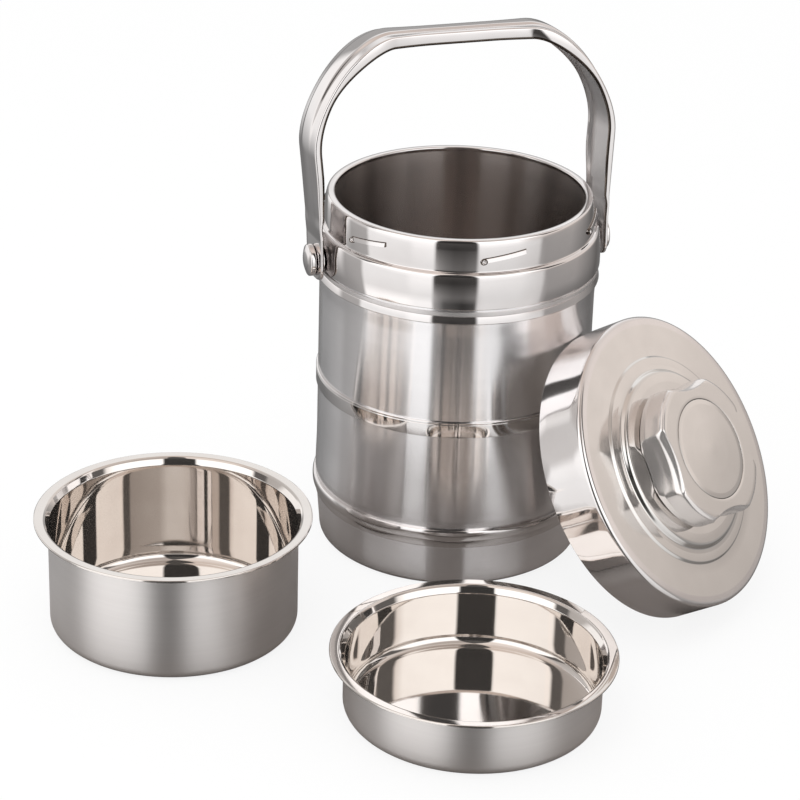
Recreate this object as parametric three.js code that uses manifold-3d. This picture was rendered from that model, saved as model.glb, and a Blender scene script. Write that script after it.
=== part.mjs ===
// Insulated food carrier in stainless steel: a double-walled pot with a swinging bail,
// its lid leaning on the pot, and two serving bowls standing beside it.
// Millimetres, +Z up. The pot's axis is the Z axis, its base stands on Z = 0,
// and the bail turns about a line along X.

import {
  BufferAttribute,
  BufferGeometry,
  CubicBezierCurve3,
  CurvePath,
  ExtrudeGeometry,
  Group,
  LatheGeometry,
  LineCurve3,
  Mesh,
  MeshStandardMaterial,
  Path,
  Shape,
  Vector2,
  Vector3,
} from "three";
import { mergeVertices } from "three/addons/utils/BufferGeometryUtils.js";
import Module from "manifold-3d";

const wasm = await Module();
wasm.setup();

// Sheet and clearances
const sheet = 0.8;
const seatGap = 0.3;
const looseGap = 0.6;
const overrun = 4;

// Facets round each turned piece
const shownSides = 36;
const hiddenSides = 24;
const smallSides = 16;
const cornerSteps = 3;
const insideSteps = 2;
const domeSteps = 2;
const turnDegrees = 360;

// Pot, stacked up from the band's lower edge
const bodyRadius = 75.3;
const bandStep = 2;
const bandRadius = bodyRadius + bandStep;
const bandBottom = 165.6;
const bandHeight = 16.9;
const ledgeBottom = bandBottom + bandHeight;
const ledgeRise = 4.3;
const ledgeTop = ledgeBottom + ledgeRise;
const ledgeBulge = 0.6;
const neckInset = 3.8;
const neckRadius = bandRadius - neckInset;
const neckRound = 1.6;
const neckLength = 12.6;
const neckShoulderHeight = ledgeTop + neckLength;
const shoulderDrop = 3.6;
const potHeight = neckShoulderHeight + shoulderDrop;
const lipInset = 2;
const lipOuterRadius = neckRadius - lipInset;
const lipWidth = 3.8;
const lipInnerRadius = lipOuterRadius - lipWidth;
const lipRise = 2.3;
const hemRingStep = 1.9;
const hemRingRadius = bodyRadius + hemRingStep;
const hemRingHeight = 4;
const hemRingGap = 1.7;
const hemRingTop = bandBottom - hemRingGap;
const hemRingBottom = hemRingTop - hemRingHeight;
const middleBandStep = 1;
const middleBandRadius = bodyRadius + middleBandStep;
const middleBandBottom = 91;
const middleBandHeight = 9;
const middleBandTop = middleBandBottom + middleBandHeight;
const bandEdge = 0.4;
const footBeadStep = 2.1;
const footBeadRadius = bodyRadius + footBeadStep;
const footBeadBottom = 29;
const footBeadHeight = 6.4;
const footBeadTop = footBeadBottom + footBeadHeight;
const cupBandStep = 0.3;
const cupBandRadius = bodyRadius + cupBandStep;
const cupTopRadius = bodyRadius - cupBandStep;
const cupBandHeight = 4.4;
const cupBandBottom = footBeadBottom - cupBandHeight;
const cupDraft = 2;
const cupBaseRadius = cupTopRadius - cupDraft;
const cupCorner = 3.4;
const cupFloor = 1.8;
const cupRecessInset = 11;
const cupRecessOuterRadius = cupBaseRadius - cupRecessInset;
const cupRecessWidth = 10;
const cupRecessInnerRadius = cupRecessOuterRadius - cupRecessWidth;
const cupRecessSlope = 1.5;
const cupRecessDepth = 0.9;

// Inner vessel
const linerInset = 0.2;
const linerRadius = lipInnerRadius + linerInset;
const linerCorner = 12;
const linerFloorHeight = 15;

// Neck ramps that the lid's lugs turn under
const rampCount = 6;
const rampCentreTurn = -89.2;
const rampLength = 23.5;
const rampRise = 3.2;
const rampWidth = 2.8;
const rampProud = 1;
const rampRoot = 0.5;
const rampMidShare = 0.54;
const rampMidHeight = ledgeTop + rampMidShare * neckLength;
const rampBulb = 1.9;

// Bail and its pivots
const pivotRise = 4.9;
const pivotHeight = bandBottom + pivotRise;
const bailLean = 6.4;
const strapWidth = 32;
const strapFootShare = 0.9;
const strapGripShare = 0.61;
const strapDepth = 5.2;
const gripDepthShare = 1.6;
const strapSheet = 1.3;
const strapSteps = 32;
const armFootHeight = 13;
const armTopHeight = 60;
const armSpread = 3.7;
const armWideHeight = 50;
const gripRise = 122.4;
const gripHalfLength = 38;
const gripNarrowReach = 16;
const gripWideReach = 64;
const kneeLift = 27;
const kneeReach = 23;
const fadeHeight = 44;
const tabSheet = 2;
const tabStandOff = 4.5;
const tabFaceReach = bandRadius + tabStandOff;
const armFootReach = tabFaceReach;
const armTopReach = armFootReach + armSpread;
const tabWidth = 28;
const tabTopHeight = 22;
const tabDrop = 9.5;
const tabCorner = 8;
const pivotWasherSheet = 1.8;
const pivotWasherRadius = 7.5;
const rivetShankRadius = 2.6;
const rivetRunning = 0.25;
const rivetHeadRadius = 8.6;
const rivetHeadRise = 4.7;
const rivetHeadEdge = 3.1;
const rivetTailRadius = 3.5;
const rivetTailSheet = 0.9;
const backingRadius = 4;
const backingSheet = 1;

// Lid
const lidOverhang = 2.9;
const lidRadius = bandRadius + lidOverhang;
const lidHeight = 28.1;
const lidEdgeReach = 5.5;
const lidEdgeDrop = 3.4;
const lidStepInset = 23;
const lidStepRadius = lidRadius - lidStepInset;
const lidStepRise = 1.1;
const lidStepSlope = 1.2;
const bossInset = 8.4;
const bossRadius = lidStepRadius - bossInset;
const bossRound = 6.5;
const bossTopRadius = bossRadius - bossRound;
const bossRise = 3.2;
const bossTopHeight = lidHeight + lidStepRise + bossRise;
const lidScrewRadius = 2.4;
const panSeatDepth = 8.1;
const panSeatHeight = lidHeight - panSeatDepth;
const panPlugInset = 4.4;
const panPlugRadius = linerRadius - panPlugInset;
const panPlugDrop = 6;
const panPlugHeight = panSeatHeight - panPlugDrop;
const panPlugRound = 3.2;
const panFlangeHeight = 3;
const gasketOverhang = 0.5;
const gasketOuterRadius = lipOuterRadius + gasketOverhang;
const gasketThickness = 1.8;
const lockRingBottom = 4.5;
const lockRingTop = 8;
const lugClearance = 0.5;
const lugInnerRadius = neckRadius + lugClearance;
const lugLength = 2;
const lockRingInnerRadius = lugInnerRadius + lugLength;
const lugHalfTurn = 5;
const lugSteps = 2;
const lugCentreTurn = 30;
const lidLeanTurn = 39.5;
const lidLeanRise = 32.5;
const leanTurnSteps = 72;
const leanHalvings = 20;

// Lid knob
const knobShare = 0.504;
const knobRadius = knobShare * lidRadius;
const knobRise = 18;
const knobTopHeight = bossTopHeight + knobRise;
const knobEdgeRound = 2.6;
const knobFootRound = 1.6;
const scallopCount = 4;
const scallopRadius = 45;
const scallopDepth = 5.6;
const scallopWaist = knobRadius - scallopDepth;
const scallopFlare = 2.2;
const scallopSides = 72;
const scallopFirstTurn = 80;
const capShare = 0.676;
const capRadius = capShare * knobRadius;
const capRecess = 1.3;
const capCrown = 0.25;
const insertRadius = 7;
const insertShare = 0.61;
const insertHeight = insertShare * knobRise;
const screwLength = insertHeight;
const screwHeadRadius = 4.6;
const screwHeadRise = 2;
const screwWasherRadius = 6.5;
const screwWasherSheet = 0.8;

// Serving bowls
const bowlCorner = 6.2;
const bowlInset = 2.3;
const bowlWallRadius = linerRadius - bowlInset;
const bowlRimWidth = 7.3;
const bowlRimRadius = bowlWallRadius + bowlRimWidth;
const bowlFlareWidth = 2.6;
const bowlEdgeHeight = 1.3;
const deepBowlHeight = 62.8;
const shallowBowlHeight = 34.2;
const deepBowlDistance = 37.5;
const deepBowlTurn = -159.05;
const shallowBowlDistance = 50.3;
const shallowBowlTurn = -104.65;

// Finishes
const polished = { color: 0xcfc8c2, metalness: 1, roughness: 0.12 };
const brushed = { color: 0xa9a5a3, metalness: 1, roughness: 0.38 };
const darkSteel = { color: 0x6f6864, metalness: 1, roughness: 0.34 };
const foam = { color: 0xd8cba6, metalness: 0, roughness: 0.9 };
const silicone = { color: 0xdedede, metalness: 0, roughness: 0.6 };
const plastic = { color: 0x2b2b2d, metalness: 0, roughness: 0.5 };

function radians(degrees) {
  return (Math.PI * degrees) / (turnDegrees / 2);
}

// Evenly spaced turns in degrees, starting from the first
function turnsFrom(first, count) {
  return Array.from({ length: count }, (_, index) => first + (turnDegrees * index) / count);
}

// An arc of an ellipse in the radius and height plane, from one share of a turn to another
function arc(centreRadius, centreHeight, reach, rise, startShare, endShare, steps = cornerSteps) {
  const points = [];
  for (let step = 0; step <= steps; step += 1) {
    const angle = 2 * Math.PI * (startShare + ((endShare - startShare) * step) / steps);
    points.push([centreRadius + reach * Math.cos(angle), centreHeight + rise * Math.sin(angle)]);
  }
  return points;
}

const outShare = 0;
const upShare = 0.25;
const inShare = 0.5;
const downShare = -0.25;

// A turned solid about Z from an outline in radius and height
function turned(outline, sides) {
  const points = outline.map(([radius, height]) => new Vector2(radius, height));
  return new LatheGeometry(points, sides).rotateX(Math.PI / 2);
}

function closedTurned(outline, sides) {
  return turned([...outline, outline[0]], sides);
}

function solidOf(geometry) {
  const bare = geometry.clone();
  bare.deleteAttribute("normal");
  bare.deleteAttribute("uv");
  const merged = mergeVertices(bare);
  return new wasm.Manifold(
    new wasm.Mesh({
      numProp: 3,
      vertProperties: merged.attributes.position.array,
      triVerts: new Uint32Array(merged.index.array),
    }),
  );
}

function geometryOf(solid) {
  const mesh = solid.getMesh();
  const geometry = new BufferGeometry();
  geometry.setAttribute("position", new BufferAttribute(mesh.vertProperties, mesh.numProp));
  geometry.setIndex(new BufferAttribute(mesh.triVerts, 1));
  const flat = geometry.toNonIndexed();
  flat.computeVertexNormals();
  return flat;
}

function cut(geometry, cutters) {
  const solid = cutters.reduce((rest, cutter) => rest.subtract(solidOf(cutter)), solidOf(geometry));
  return geometryOf(solid);
}

function join(geometries) {
  const solid = geometries.map(solidOf).reduce((whole, piece) => whole.add(piece));
  return geometryOf(solid);
}

function piece(name, geometry, finish) {
  const mesh = new Mesh(geometry, new MeshStandardMaterial(finish));
  mesh.name = name;
  return mesh;
}

// A round rod along Z
function rod(radius, bottom, top, sides) {
  return turned([[0, bottom], [radius, bottom], [radius, top], [0, top]], sides);
}

// Pot collar: plain band, rounded ledge, neck and curled lip
function collarGeometry() {
  const lipMid = (lipOuterRadius + lipInnerRadius) / 2;
  const lipReach = (lipOuterRadius - lipInnerRadius) / 2;
  const lipBase = potHeight - lipRise;
  const ledgeCentre = neckRadius + ledgeBulge;
  const ledgeReach = bandRadius + ledgeBulge - ledgeCentre;
  const outline = [
    [bodyRadius + seatGap, bandBottom],
    [bandRadius, bandBottom],
    [bandRadius, ledgeBottom],
    ...arc(ledgeCentre, ledgeBottom, ledgeReach, ledgeRise, outShare, upShare),
    [neckRadius, ledgeTop + ledgeBulge],
    ...arc(neckRadius - neckRound, neckShoulderHeight, neckRound, neckRound, outShare, upShare, insideSteps),
    ...arc(lipMid, lipBase, lipReach, lipRise, outShare, inShare, 2 * insideSteps),
    [lipInnerRadius + sheet, lipBase],
    [lipMid, potHeight - sheet],
    [lipOuterRadius - sheet, lipBase - sheet],
    [neckRadius - sheet, neckShoulderHeight],
    [neckRadius - sheet, ledgeTop - sheet],
    [bandRadius - sheet, ledgeBottom],
    [bandRadius - sheet, bandBottom + sheet],
    [bodyRadius + seatGap, bandBottom + sheet],
  ];
  const neck = solidOf(closedTurned(outline, shownSides));
  const holes = pivotHoles(lipMid);
  const drilled = holes.reduce((rest, hole) => rest.subtract(hole), neck);
  const ramped = rampSolids().reduce((whole, ramp) => whole.add(ramp), drilled);
  return geometryOf(ramped);
}

// Two holes along X for the pivot rivets, each reaching out from the given radius
function pivotHoles(fromRadius) {
  return [1, -1].map((side) => {
    const hole = rod(rivetShankRadius + rivetRunning, fromRadius, bandRadius + overrun, smallSides);
    hole.rotateY((side * Math.PI) / 2).translate(0, 0, pivotHeight);
    return solidOf(hole);
  });
}

// One embossed ramp: a sloping rib with a rounded bulb at its low end, as deep as the ring it is cut from
function rampGeometry(turn) {
  const outline = new Shape();
  const halfLength = rampLength / 2;
  const halfWidth = rampWidth / 2;
  const halfRise = rampRise / 2;
  outline.moveTo(halfLength, halfRise + halfWidth);
  outline.lineTo(-halfLength, halfWidth - halfRise);
  const bulbHeight = halfWidth - halfRise - rampBulb;
  outline.absarc(-halfLength, bulbHeight, rampBulb, Math.PI / 2, (3 * Math.PI) / 2, false);
  outline.lineTo(halfLength, halfRise - halfWidth);
  outline.closePath();
  const options = { depth: 2 * overrun, curveSegments: cornerSteps, bevelEnabled: false };
  const slab = new ExtrudeGeometry(outline, options);
  slab.translate(0, rampMidHeight, neckRadius - overrun);
  return slab.rotateX(Math.PI / 2).rotateZ(radians(turn) + Math.PI / 2);
}

// The ramps round the neck, cut from one ring that stands proud of it
function rampSolids() {
  const reach = rampLength / 2;
  const outline = [
    [neckRadius - rampRoot, rampMidHeight - reach],
    [neckRadius + rampProud, rampMidHeight - reach],
    [neckRadius + rampProud, rampMidHeight + reach],
    [neckRadius - rampRoot, rampMidHeight + reach],
  ];
  const ring = solidOf(closedTurned(outline, shownSides));
  return turnsFrom(rampCentreTurn, rampCount).map((turn) => ring.intersect(solidOf(rampGeometry(turn))));
}

// Outer wall between the collar and the base cup
function bodyShellGeometry() {
  const bottom = footBeadBottom + seatGap;
  const top = bandBottom + sheet / 2;
  const outline = [
    [bodyRadius - sheet, bottom],
    [bodyRadius, bottom],
    [bodyRadius, top],
    [bodyRadius - sheet, top],
  ];
  return closedTurned(outline, shownSides);
}

// A rounded ring round the body, half round on its outside
function beadGeometry(bottom, top, radius) {
  const inner = bodyRadius + seatGap;
  const middle = (bottom + top) / 2;
  const start = inner + sheet / 2;
  const round = arc(start, middle, radius - start, (top - bottom) / 2, downShare, upShare);
  return closedTurned([[inner, bottom], ...round, [inner, top]], shownSides);
}

function middleBandGeometry() {
  const inner = bodyRadius + seatGap;
  const outline = [
    [inner, middleBandBottom],
    [middleBandRadius - bandEdge, middleBandBottom],
    [middleBandRadius, middleBandBottom + bandEdge],
    [middleBandRadius, middleBandTop - bandEdge],
    [middleBandRadius - bandEdge, middleBandTop],
    [inner, middleBandTop],
  ];
  return closedTurned(outline, shownSides);
}

// Base cup: recessed floor, rounded foot, drafted wall and a polished band at its top
function baseCupGeometry() {
  const footRadius = cupBaseRadius - cupCorner;
  const outline = [
    [0, 0],
    [cupRecessInnerRadius - cupRecessSlope, 0],
    [cupRecessInnerRadius, cupRecessDepth],
    [cupRecessOuterRadius, cupRecessDepth],
    [cupRecessOuterRadius + cupRecessSlope, 0],
    ...arc(footRadius, cupCorner, cupCorner, cupCorner, downShare, outShare),
    [cupTopRadius, cupBandBottom],
    [cupBandRadius, cupBandBottom + bandEdge],
    [cupBandRadius, footBeadBottom - seatGap / 2],
    [cupBandRadius - sheet, footBeadBottom - seatGap / 2],
    [cupTopRadius - sheet, cupBandBottom],
    [cupBaseRadius - sheet, cupFloor + cupCorner],
    [footRadius, cupFloor],
    [0, cupFloor],
  ];
  return turned(outline, shownSides);
}

// Inner vessel, open at the top, its edge under the curled lip
function linerGeometry() {
  const top = potHeight - lipRise - seatGap;
  const cornerRadius = linerRadius - linerCorner;
  const cornerHeight = linerFloorHeight + sheet + linerCorner;
  const outerCorner = linerCorner + sheet;
  const outside = arc(cornerRadius, cornerHeight, outerCorner, outerCorner, downShare, outShare);
  const inside = arc(cornerRadius, cornerHeight, linerCorner, linerCorner, outShare, downShare, insideSteps);
  const outline = [
    [0, linerFloorHeight],
    ...outside,
    [linerRadius + sheet, top],
    [linerRadius, top],
    ...inside,
    [0, linerFloorHeight + sheet],
  ];
  return turned(outline, shownSides);
}

// Foam between the two walls
function insulationGeometry() {
  const inner = linerRadius + sheet + 2 * looseGap;
  const outer = bodyRadius - sheet - looseGap;
  const upperOuter = neckRadius - sheet - looseGap;
  const floor = cupFloor + seatGap;
  const corner = linerCorner + sheet + 3 * looseGap;
  const cornerHeight = linerFloorHeight + sheet + linerCorner;
  const outline = [
    [0, floor],
    [cupBaseRadius - 2 * cupCorner, floor],
    [cupBaseRadius - 2 * sheet, 2 * cupCorner],
    [outer, footBeadTop],
    [outer, hemRingBottom],
    [upperOuter, bandBottom],
    [upperOuter, neckShoulderHeight - sheet],
    [inner, neckShoulderHeight - sheet],
    ...arc(linerRadius - linerCorner, cornerHeight, corner, corner, outShare, downShare, insideSteps),
    [0, linerFloorHeight - seatGap],
  ];
  return turned(outline, hiddenSides);
}

// A pivot rivet along its own +Z, laid on X by its group: tail, shank and domed head
function rivetGeometry() {
  const tail = backingInner() - seatGap - rivetTailSheet;
  const head = tabFaceReach + seatGap;
  const domeRise = rivetHeadRise - rivetHeadEdge;
  const dome = arc(0, head + rivetHeadEdge, rivetHeadRadius, domeRise, outShare, upShare, domeSteps);
  const outline = [
    [0, tail],
    [rivetTailRadius, tail],
    [rivetTailRadius, tail + rivetTailSheet],
    [rivetShankRadius, tail + rivetTailSheet],
    [rivetShankRadius, head],
    [rivetHeadRadius, head],
    ...dome,
  ];
  return turned(outline, smallSides);
}

// Inner face of the plate behind the collar
function backingInner() {
  return Math.sqrt((bandRadius - sheet) ** 2 - backingRadius ** 2) - 2 * seatGap - backingSheet;
}

function plateGeometry(radius, bottom, top) {
  const hole = rivetShankRadius + rivetRunning;
  const outline = [
    [hole, bottom],
    [radius, bottom],
    [radius, top],
    [hole, top],
  ];
  return closedTurned(outline, smallSides);
}

// The pieces on one side's pivot, along +Z of a group that is turned onto X
function pivotGroup(side, name) {
  const washerOuter = tabFaceReach - tabSheet - seatGap;
  const washer = plateGeometry(pivotWasherRadius, washerOuter - pivotWasherSheet, washerOuter);
  const backing = plateGeometry(backingRadius, backingInner(), backingInner() + backingSheet);
  const group = new Group();
  group.add(
    piece("rivet_" + name, rivetGeometry(), polished),
    piece("pivot_washer_" + name, washer, polished),
    piece("backing_plate_" + name, backing, brushed),
  );
  group.rotation.y = (side * Math.PI) / 2;
  group.position.z = pivotHeight;
  return group;
}

// The path of the bail's outer face, from one arm's foot over the grip to the other
function bailPath() {
  const slope = (armTopReach - armFootReach) / (armTopHeight - armFootHeight);
  const path = new CurvePath();
  const spot = (reach, height) => new Vector3(reach, 0, height);
  const kneeArm = [armTopReach + slope * kneeLift, armTopHeight + kneeLift];
  const kneeGrip = [gripHalfLength + kneeReach, gripRise];
  path.add(new LineCurve3(spot(armFootReach, armFootHeight), spot(armTopReach, armTopHeight)));
  path.add(
    new CubicBezierCurve3(
      spot(armTopReach, armTopHeight),
      spot(...kneeArm),
      spot(...kneeGrip),
      spot(gripHalfLength, gripRise),
    ),
  );
  path.add(new LineCurve3(spot(gripHalfLength, gripRise), spot(-gripHalfLength, gripRise)));
  path.add(
    new CubicBezierCurve3(
      spot(-gripHalfLength, gripRise),
      spot(-kneeGrip[0], kneeGrip[1]),
      spot(-kneeArm[0], kneeArm[1]),
      spot(-armTopReach, armTopHeight),
    ),
  );
  path.add(new LineCurve3(spot(-armTopReach, armTopHeight), spot(-armFootReach, armFootHeight)));
  return path;
}

// The strap's section: a shallow channel with rolled edges, as shares of its depth and half width
const strapOuterShares = [
  [0.72, 1],
  [0.3, 0.93],
  [0.06, 0.72],
  [0, 0.36],
];
const strapInnerShares = [
  [0.25, 0.53],
  [0.4, 0.78],
  [0.72, 0.88],
  [1, 0.95],
];

function strapSection() {
  const half = strapWidth / 2;
  const oneSide = [[strapSheet / strapDepth, 0], ...strapInnerShares, ...strapOuterShares];
  const otherSide = oneSide.slice(1).reverse().map(([depth, across]) => [depth, -across]);
  const shares = [...oneSide, ...otherSide];
  return new Shape(shares.map(([depth, across]) => new Vector2(across * half, -depth * strapDepth)));
}

// How far a value has gone from a start to an end, as a share that leaves and arrives gently
function eased(value, start, end) {
  const share = Math.min(Math.max((value - start) / (end - start), 0), 1);
  return share * share * (3 - 2 * share);
}

// The strap's width at a spot of its path, as a share of its full width
function widthShare(spot) {
  const foot = (1 - strapFootShare) * (1 - eased(spot.z, armFootHeight, armWideHeight));
  const grip = (1 - strapGripShare) * (1 - eased(Math.abs(spot.x), gripNarrowReach, gripWideReach));
  return 1 - foot - grip;
}

// The channel swept along the path, wide at the shoulders, narrower and deeper at the grip
function strapGeometry() {
  const path = bailPath();
  const geometry = new ExtrudeGeometry(strapSection(), {
    steps: strapSteps,
    extrudePath: path,
    bevelEnabled: false,
  });
  const spots = path.getSpacedPoints(strapSteps);
  const corners = geometry.attributes.position;
  const corner = new Vector3();
  for (let index = 0; index < corners.count; index += 1) {
    corner.fromBufferAttribute(corners, index);
    const across = corner.y;
    corner.setY(0);
    const away = (spot) => corner.distanceTo(spot);
    const spot = spots.reduce((best, next) => (away(next) < away(best) ? next : best));
    const deeper = 1 + (gripDepthShare - 1) * eased(spot.z, armTopHeight + kneeLift, gripRise);
    corner.sub(spot).multiplyScalar(deeper).add(spot);
    corners.setXYZ(index, corner.x, across * widthShare(spot), corner.z);
  }
  return geometry;
}

// The flat tab at the foot of one arm, in the plane across X
function tabGeometry(side) {
  const half = tabWidth / 2;
  const outline = new Shape();
  outline.moveTo(half, tabTopHeight);
  outline.lineTo(-half, tabTopHeight);
  outline.lineTo(-half, tabCorner - tabDrop);
  const lowest = (3 * Math.PI) / 2;
  outline.absarc(tabCorner - half, tabCorner - tabDrop, tabCorner, Math.PI, lowest, false);
  outline.absarc(half - tabCorner, tabCorner - tabDrop, tabCorner, lowest, 2 * Math.PI, false);
  outline.closePath();
  const hole = new Path();
  hole.absarc(0, 0, rivetShankRadius + rivetRunning, 0, 2 * Math.PI, true);
  outline.holes.push(hole);
  const options = { depth: tabSheet, curveSegments: 2 * cornerSteps, bevelEnabled: false };
  const geometry = new ExtrudeGeometry(outline, options);
  const start = side > 0 ? tabFaceReach - tabSheet : -tabFaceReach;
  return geometry.rotateX(Math.PI / 2).rotateZ(Math.PI / 2).translate(start, 0, 0);
}

// A wedge that thins the channel's edges to the tab's thickness at the arm's foot
function fadeGeometry(side) {
  const outline = new Shape();
  const footInner = tabFaceReach - tabSheet;
  outline.moveTo(side * footInner, 0);
  outline.lineTo(side * footInner, armFootHeight);
  outline.lineTo(side * (armTopReach - strapDepth - overrun), fadeHeight + overrun);
  outline.lineTo(side * (footInner - 2 * overrun), 0);
  outline.closePath();
  const wide = strapWidth + 2 * overrun;
  const wedge = new ExtrudeGeometry(outline, { depth: wide, bevelEnabled: false });
  return wedge.rotateX(Math.PI / 2).translate(0, wide / 2, 0);
}

function bailGeometry() {
  const whole = join([strapGeometry(), tabGeometry(1), tabGeometry(-1)]);
  return cut(whole, [fadeGeometry(1), fadeGeometry(-1)]);
}

// Lid cover: skirt, rounded edge, flat face, low step and the boss under the knob
function lidCoverGeometry() {
  const edgeRadius = lidRadius - lidEdgeReach;
  const edgeHeight = lidHeight - lidEdgeDrop;
  const stepTop = lidHeight + lidStepRise;
  const bossReach = bossRadius - bossTopRadius;
  const bossBase = bossTopHeight - bossRise;
  const insideReach = lidEdgeReach - sheet;
  const outline = [
    [lidRadius - sheet, 0],
    [lidRadius, 0],
    ...arc(edgeRadius, edgeHeight, lidEdgeReach, lidEdgeDrop, outShare, upShare),
    [lidStepRadius, lidHeight],
    [lidStepRadius - lidStepSlope, stepTop],
    ...arc(bossTopRadius, bossBase, bossReach, bossRise, outShare, upShare),
    [lidScrewRadius + rivetRunning, bossTopHeight],
    [lidScrewRadius + rivetRunning, bossTopHeight - sheet],
    ...arc(bossTopRadius, bossBase - sheet, bossReach - sheet, bossRise, upShare, outShare, insideSteps),
    [lidStepRadius - lidStepSlope - sheet, stepTop - sheet],
    [lidStepRadius - sheet, lidHeight - sheet],
    ...arc(edgeRadius, edgeHeight - sheet, insideReach, lidEdgeDrop, upShare, outShare, insideSteps),
  ];
  return closedTurned(outline, shownSides);
}

// Lid pan: flange, flat seat and the plug that drops into the mouth
function lidPanGeometry() {
  const flangeRadius = lidRadius - sheet - seatGap;
  const plugInner = panPlugRadius - sheet;
  const roundRadius = panPlugRadius - panPlugRound;
  const roundHeight = panPlugHeight + panPlugRound;
  const outline = [
    [0, panPlugHeight],
    ...arc(roundRadius, roundHeight, panPlugRound, panPlugRound, downShare, outShare, insideSteps),
    [panPlugRadius, panSeatHeight],
    [flangeRadius, panSeatHeight],
    [flangeRadius, panSeatHeight + panFlangeHeight],
    [flangeRadius - sheet, panSeatHeight + panFlangeHeight],
    [flangeRadius - sheet, panSeatHeight + sheet],
    [plugInner, panSeatHeight + sheet],
    [plugInner, roundHeight],
    [roundRadius, panPlugHeight + sheet],
    [0, panPlugHeight + sheet],
  ];
  return turned(outline, shownSides);
}

function lidInsulationGeometry() {
  const plugOuter = panPlugRadius - 2 * sheet - looseGap;
  const outer = lidRadius - 2 * sheet - 2 * looseGap;
  const top = lidHeight - sheet - looseGap;
  const outline = [
    [0, panPlugHeight + sheet + seatGap],
    [plugOuter - panPlugRound, panPlugHeight + sheet + seatGap],
    [plugOuter, panPlugHeight + sheet + panPlugRound],
    [plugOuter, panSeatHeight + sheet + seatGap],
    [outer, panSeatHeight + sheet + seatGap],
    [outer, lidHeight - lidEdgeDrop - sheet],
    [lidRadius - lidEdgeReach - looseGap, top],
    [0, top],
  ];
  return turned(outline, hiddenSides);
}

function gasketGeometry() {
  const inner = panPlugRadius + seatGap;
  const top = panSeatHeight - seatGap;
  const outline = [
    [inner, top - gasketThickness / 2],
    [(inner + gasketOuterRadius) / 2, top - gasketThickness],
    [gasketOuterRadius, top - gasketThickness / 2],
    [gasketOuterRadius, top],
    [inner, top],
  ];
  return closedTurned(outline, shownSides);
}

// Lock ring inside the skirt, with lugs that pass under the neck's ramps
function lockRingGeometry() {
  const outer = lidRadius - sheet - seatGap;
  const outline = [
    [lockRingInnerRadius, lockRingBottom],
    [outer, lockRingBottom],
    [outer, lockRingTop],
    [lockRingInnerRadius, lockRingTop],
  ];
  const ring = closedTurned(outline, shownSides);
  return join([ring, ...turnsFrom(lugCentreTurn, rampCount).map(lugGeometry)]);
}

function lugGeometry(centreTurn) {
  const outerRadius = lockRingInnerRadius + (lidRadius - lockRingInnerRadius) / 2;
  const outline = new Shape();
  const spot = (radius, step) => {
    const angle = radians(centreTurn + (lugHalfTurn * step) / lugSteps);
    return [radius * Math.cos(angle), radius * Math.sin(angle)];
  };
  outline.moveTo(...spot(lugInnerRadius, -lugSteps));
  outline.lineTo(...spot(outerRadius, -lugSteps));
  outline.lineTo(...spot(outerRadius, lugSteps));
  for (let step = lugSteps; step > -lugSteps; step -= 1) outline.lineTo(...spot(lugInnerRadius, step));
  const lugHeight = lockRingTop - lockRingBottom - sheet;
  const lug = new ExtrudeGeometry(outline, { depth: lugHeight, bevelEnabled: false });
  return lug.translate(0, 0, lockRingBottom + sheet / 2);
}

// Knob: a round body with finger scallops, a recess for its cap and a bore for the insert
function knobGeometry() {
  const bottom = bossTopHeight + seatGap;
  const recess = knobTopHeight - capRecess;
  const boreRadius = insertRadius + seatGap;
  const boreTop = bottom + insertHeight + seatGap;
  const roundRadius = knobRadius - knobEdgeRound;
  const roundHeight = knobTopHeight - knobEdgeRound;
  const outline = [
    [boreRadius, bottom],
    [knobRadius - knobFootRound, bottom],
    [knobRadius, bottom + knobFootRound],
    ...arc(roundRadius, roundHeight, knobEdgeRound, knobEdgeRound, outShare, upShare),
    [capRadius + seatGap, knobTopHeight],
    [capRadius + seatGap, recess],
    [0, recess],
    [0, boreTop],
    [boreRadius, boreTop],
  ];
  const body = turned([...outline.slice(-2), ...outline.slice(0, -2)], shownSides);
  return cut(body, turnsFrom(scallopFirstTurn, scallopCount).map(scallopGeometry));
}

function scallopGeometry(turn) {
  const bottom = bossTopHeight - overrun;
  const reach = scallopWaist + scallopRadius;
  const outline = [
    [0, bottom],
    [scallopRadius, bottom],
    [scallopRadius, knobTopHeight - 2 * scallopFlare],
    [scallopRadius + scallopFlare / 4, knobTopHeight - scallopFlare],
    [scallopRadius + scallopFlare, knobTopHeight],
    [scallopRadius + scallopFlare, knobTopHeight + overrun],
    [0, knobTopHeight + overrun],
  ];
  const cutter = turned(outline, scallopSides);
  return cutter.translate(reach * Math.cos(radians(turn)), reach * Math.sin(radians(turn)), 0);
}

function knobCapGeometry() {
  const bottom = knobTopHeight - capRecess + seatGap;
  const outline = [
    [0, bottom],
    [capRadius, bottom],
    [capRadius, knobTopHeight - capCrown],
    [capRadius / 2, knobTopHeight + capCrown],
    [0, knobTopHeight + 2 * capCrown],
  ];
  return turned(outline, shownSides);
}

function insertGeometry() {
  const bottom = bossTopHeight + seatGap;
  const bore = lidScrewRadius + rivetRunning;
  const outline = [
    [bore, bottom],
    [insertRadius, bottom],
    [insertRadius, bottom + insertHeight],
    [bore, bottom + insertHeight],
  ];
  return closedTurned(outline, smallSides);
}

function screwWasherGeometry() {
  const top = bossTopHeight - sheet - seatGap;
  return plateGeometry(screwWasherRadius, top - screwWasherSheet, top);
}

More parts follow.
